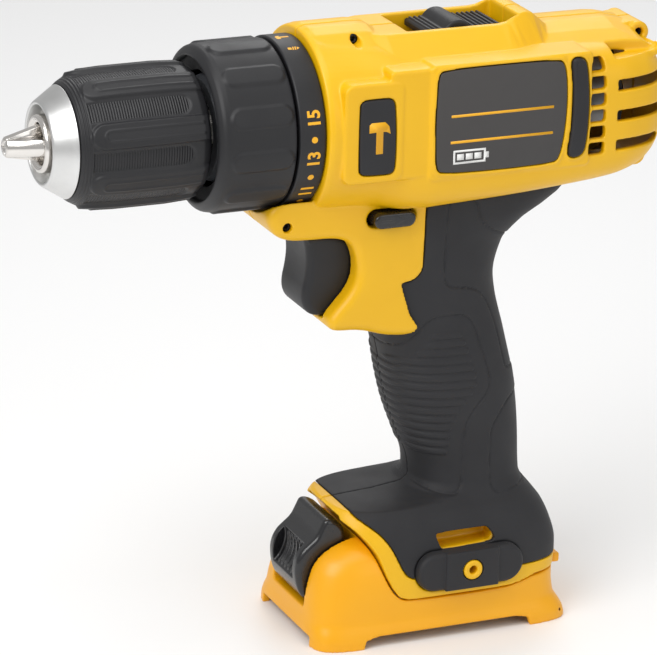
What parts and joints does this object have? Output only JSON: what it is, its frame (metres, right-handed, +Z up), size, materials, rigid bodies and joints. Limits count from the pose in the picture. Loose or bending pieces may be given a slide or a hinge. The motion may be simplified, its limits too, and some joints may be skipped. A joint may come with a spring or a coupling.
{
  "type": "cordless hammer drill",
  "caption": "Pistol-grip cordless hammer drill with keyless chuck, torque collar, speed selector, trigger, reversing lever and a hollow latched shoe under its foot.",
  "frame": {"origin": "centre of the bounding box's underside, on the floor under the foot", "axes": "+X along the drill axis from the jaw tips to the rear, +Z up, -Y to the drill's left side"},
  "size_m": [0.2038, 0.0588, 0.1898],
  "materials": {
    "yellow": "satin",
    "shoe_yellow": "satin",
    "soft_black": "matte",
    "hard_black": "satin",
    "gloss_black": "gloss",
    "badge": "satin",
    "satin_steel": "satin",
    "dark_steel": "satin",
    "brass": "satin",
    "grey_plastic": "satin",
    "carbon": "matte"
  },
  "bodies": {
    "housing": {"left_housing": "yellow", "right_housing": "yellow", "left_grip": "soft_black", "right_grip": "soft_black", "left_badge": "badge", "right_badge": "badge", "left_bumper": "soft_black", "right_bumper": "soft_black", "left_hammer_pad": "hard_black", "right_hammer_pad": "hard_black", "left_hook_pad": "hard_black", "right_hook_pad": "hard_black", "battery_shoe": "shoe_yellow", "terminal_block": "grey_plastic", "terminal_blade_left": "brass", "terminal_blade_right": "brass", "gearbox_case": "grey_plastic", "ring_gear_front": "dark_steel", "ring_gear_rear": "dark_steel", "hammer_ratchet_fixed": "dark_steel", "front_bearing": "satin_steel", "motor_can": "satin_steel", "motor_end_cap": "hard_black", "brush_left": "carbon", "brush_right": "carbon", "switch_module": "grey_plastic", "screw_rear_upper": "dark_steel", "screw_rear_lower": "dark_steel", "screw_nose": "dark_steel", "screw_top": "dark_steel", "clutch_spring": "dark_steel"},
    "rotor": {"rotor": "dark_steel"},
    "spindle": {"output_spindle": "satin_steel", "hammer_ratchet_turning": "dark_steel", "carrier_front": "dark_steel", "chuck_body": "satin_steel", "chuck_nose_cone": "satin_steel", "chuck_screw": "dark_steel"},
    "rear_carrier": {"carrier_rear": "dark_steel"},
    "sleeve": {"chuck_sleeve": "hard_black", "jaw_nut": "dark_steel"},
    "jaw_1": {"jaw_1": "satin_steel"},
    "jaw_2": {"jaw_2": "satin_steel"},
    "jaw_3": {"jaw_3": "satin_steel"},
    "collar": {"clutch_collar": "hard_black", "number_band": "hard_black"},
    "pressure_ring": {"clutch_pressure_ring": "dark_steel"},
    "selector": {"speed_selector": "hard_black", "shift_fork": "satin_steel"},
    "trigger": {"trigger": "hard_black", "trigger_spring": "satin_steel"},
    "lever": {"direction_lever": "hard_black"},
    "latch": {"latch_button": "gloss_black", "latch_spring": "satin_steel"},
    "planet_front_1": {"planet_front_1": "dark_steel"},
    "planet_front_2": {"planet_front_2": "dark_steel"},
    "planet_front_3": {"planet_front_3": "dark_steel"},
    "planet_rear_1": {"planet_rear_1": "dark_steel"},
    "planet_rear_2": {"planet_rear_2": "dark_steel"},
    "planet_rear_3": {"planet_rear_3": "dark_steel"}
  },
  "joints": [
    {"name": "rotor_spin", "type": "hinge", "parent": "housing", "child": "rotor", "pos_m": [0.03805, 0, 0.161], "axis": [1, 0, 0], "continuous": true},
    {"name": "spindle_spin", "type": "hinge", "parent": "housing", "child": "spindle", "pos_m": [-0.04195, 0, 0.161], "axis": [1, 0, 0], "continuous": true},
    {"name": "rear_carrier_spin", "type": "hinge", "parent": "housing", "child": "rear_carrier", "pos_m": [0.00105, 0, 0.161], "axis": [1, 0, 0], "continuous": true},
    {"name": "planet_front_1_spin", "type": "hinge", "parent": "spindle", "child": "planet_front_1", "pos_m": [-0.00545, 0, 0.1714], "axis": [1, 0, 0], "continuous": true},
    {"name": "planet_front_2_spin", "type": "hinge", "parent": "spindle", "child": "planet_front_2", "pos_m": [-0.00545, 0.00901, 0.1558], "axis": [1, 0, 0], "continuous": true},
    {"name": "planet_front_3_spin", "type": "hinge", "parent": "spindle", "child": "planet_front_3", "pos_m": [-0.00545, -0.00901, 0.1558], "axis": [1, 0, 0], "continuous": true},
    {"name": "planet_rear_1_spin", "type": "hinge", "parent": "rear_carrier", "child": "planet_rear_1", "pos_m": [0.00655, 0, 0.1714], "axis": [1, 0, 0], "continuous": true},
    {"name": "planet_rear_2_spin", "type": "hinge", "parent": "rear_carrier", "child": "planet_rear_2", "pos_m": [0.00655, 0.00901, 0.1558], "axis": [1, 0, 0], "continuous": true},
    {"name": "planet_rear_3_spin", "type": "hinge", "parent": "rear_carrier", "child": "planet_rear_3", "pos_m": [0.00655, -0.00901, 0.1558], "axis": [1, 0, 0], "continuous": true},
    {"name": "sleeve_turn", "type": "hinge", "parent": "spindle", "child": "sleeve", "pos_m": [-0.06495, 0, 0.161], "axis": [1, 0, 0], "range_deg": [0, 3330]},
    {"name": "jaw_1_slide", "type": "slide", "parent": "spindle", "child": "jaw_1", "axis": [0.9659, 0.1294, 0.2241], "range_m": [0, 0.0187]},
    {"name": "jaw_2_slide", "type": "slide", "parent": "spindle", "child": "jaw_2", "axis": [0.9659, 0.1294, -0.2241], "range_m": [0, 0.0187]},
    {"name": "jaw_3_slide", "type": "slide", "parent": "spindle", "child": "jaw_3", "axis": [0.9659, -0.2588, 0], "range_m": [0, 0.0187]},
    {"name": "collar_turn", "type": "hinge", "parent": "housing", "child": "collar", "pos_m": [-0.02895, 0, 0.161], "axis": [-1, 0, 0], "range_deg": [0, 268]},
    {"name": "pressure_ring_slip", "type": "slide", "parent": "housing", "child": "pressure_ring", "axis": [-1, 0, 0], "range_m": [0, 0.0012], "stiffness_N_per_m": 500, "springref_m": -0.001},
    {"name": "selector_slide", "type": "slide", "parent": "housing", "child": "selector", "axis": [-1, 0, 0], "range_m": [0, 0.006]},
    {"name": "trigger_pull", "type": "slide", "parent": "housing", "child": "trigger", "axis": [1, 0, 0], "range_m": [0, 0.006], "stiffness_N_per_m": 400, "springref_m": -0.004, "deforming": ["trigger_spring"]},
    {"name": "lever_slide", "type": "slide", "parent": "housing", "child": "lever", "axis": [0, 1, 0], "range_m": [-0.0025, 0.0025]},
    {"name": "latch_press", "type": "slide", "parent": "housing", "child": "latch", "axis": [1, 0, 0], "range_m": [0, 0.0022], "stiffness_N_per_m": 800, "springref_m": -0.001, "deforming": ["latch_spring"]}
  ],
  "couplings": [
    {"joint": "spindle_spin", "follows": "rotor_spin", "ratio": 0.040773},
    {"joint": "rear_carrier_spin", "follows": "rotor_spin", "ratio": 0.20192},
    {"joint": "planet_front_1_spin", "follows": "rotor_spin", "ratio": -0.10917},
    {"joint": "planet_front_2_spin", "follows": "rotor_spin", "ratio": -0.10917},
    {"joint": "planet_front_3_spin", "follows": "rotor_spin", "ratio": -0.10917},
    {"joint": "planet_rear_1_spin", "follows": "rotor_spin", "ratio": -0.54063},
    {"joint": "planet_rear_2_spin", "follows": "rotor_spin", "ratio": -0.54063},
    {"joint": "planet_rear_3_spin", "follows": "rotor_spin", "ratio": -0.54063},
    {"joint": "jaw_1_slide", "follows": "sleeve_turn", "m_per_rad": 0.00032003},
    {"joint": "jaw_2_slide", "follows": "sleeve_turn", "m_per_rad": 0.00032003},
    {"joint": "jaw_3_slide", "follows": "sleeve_turn", "m_per_rad": 0.00032003}
  ]
}
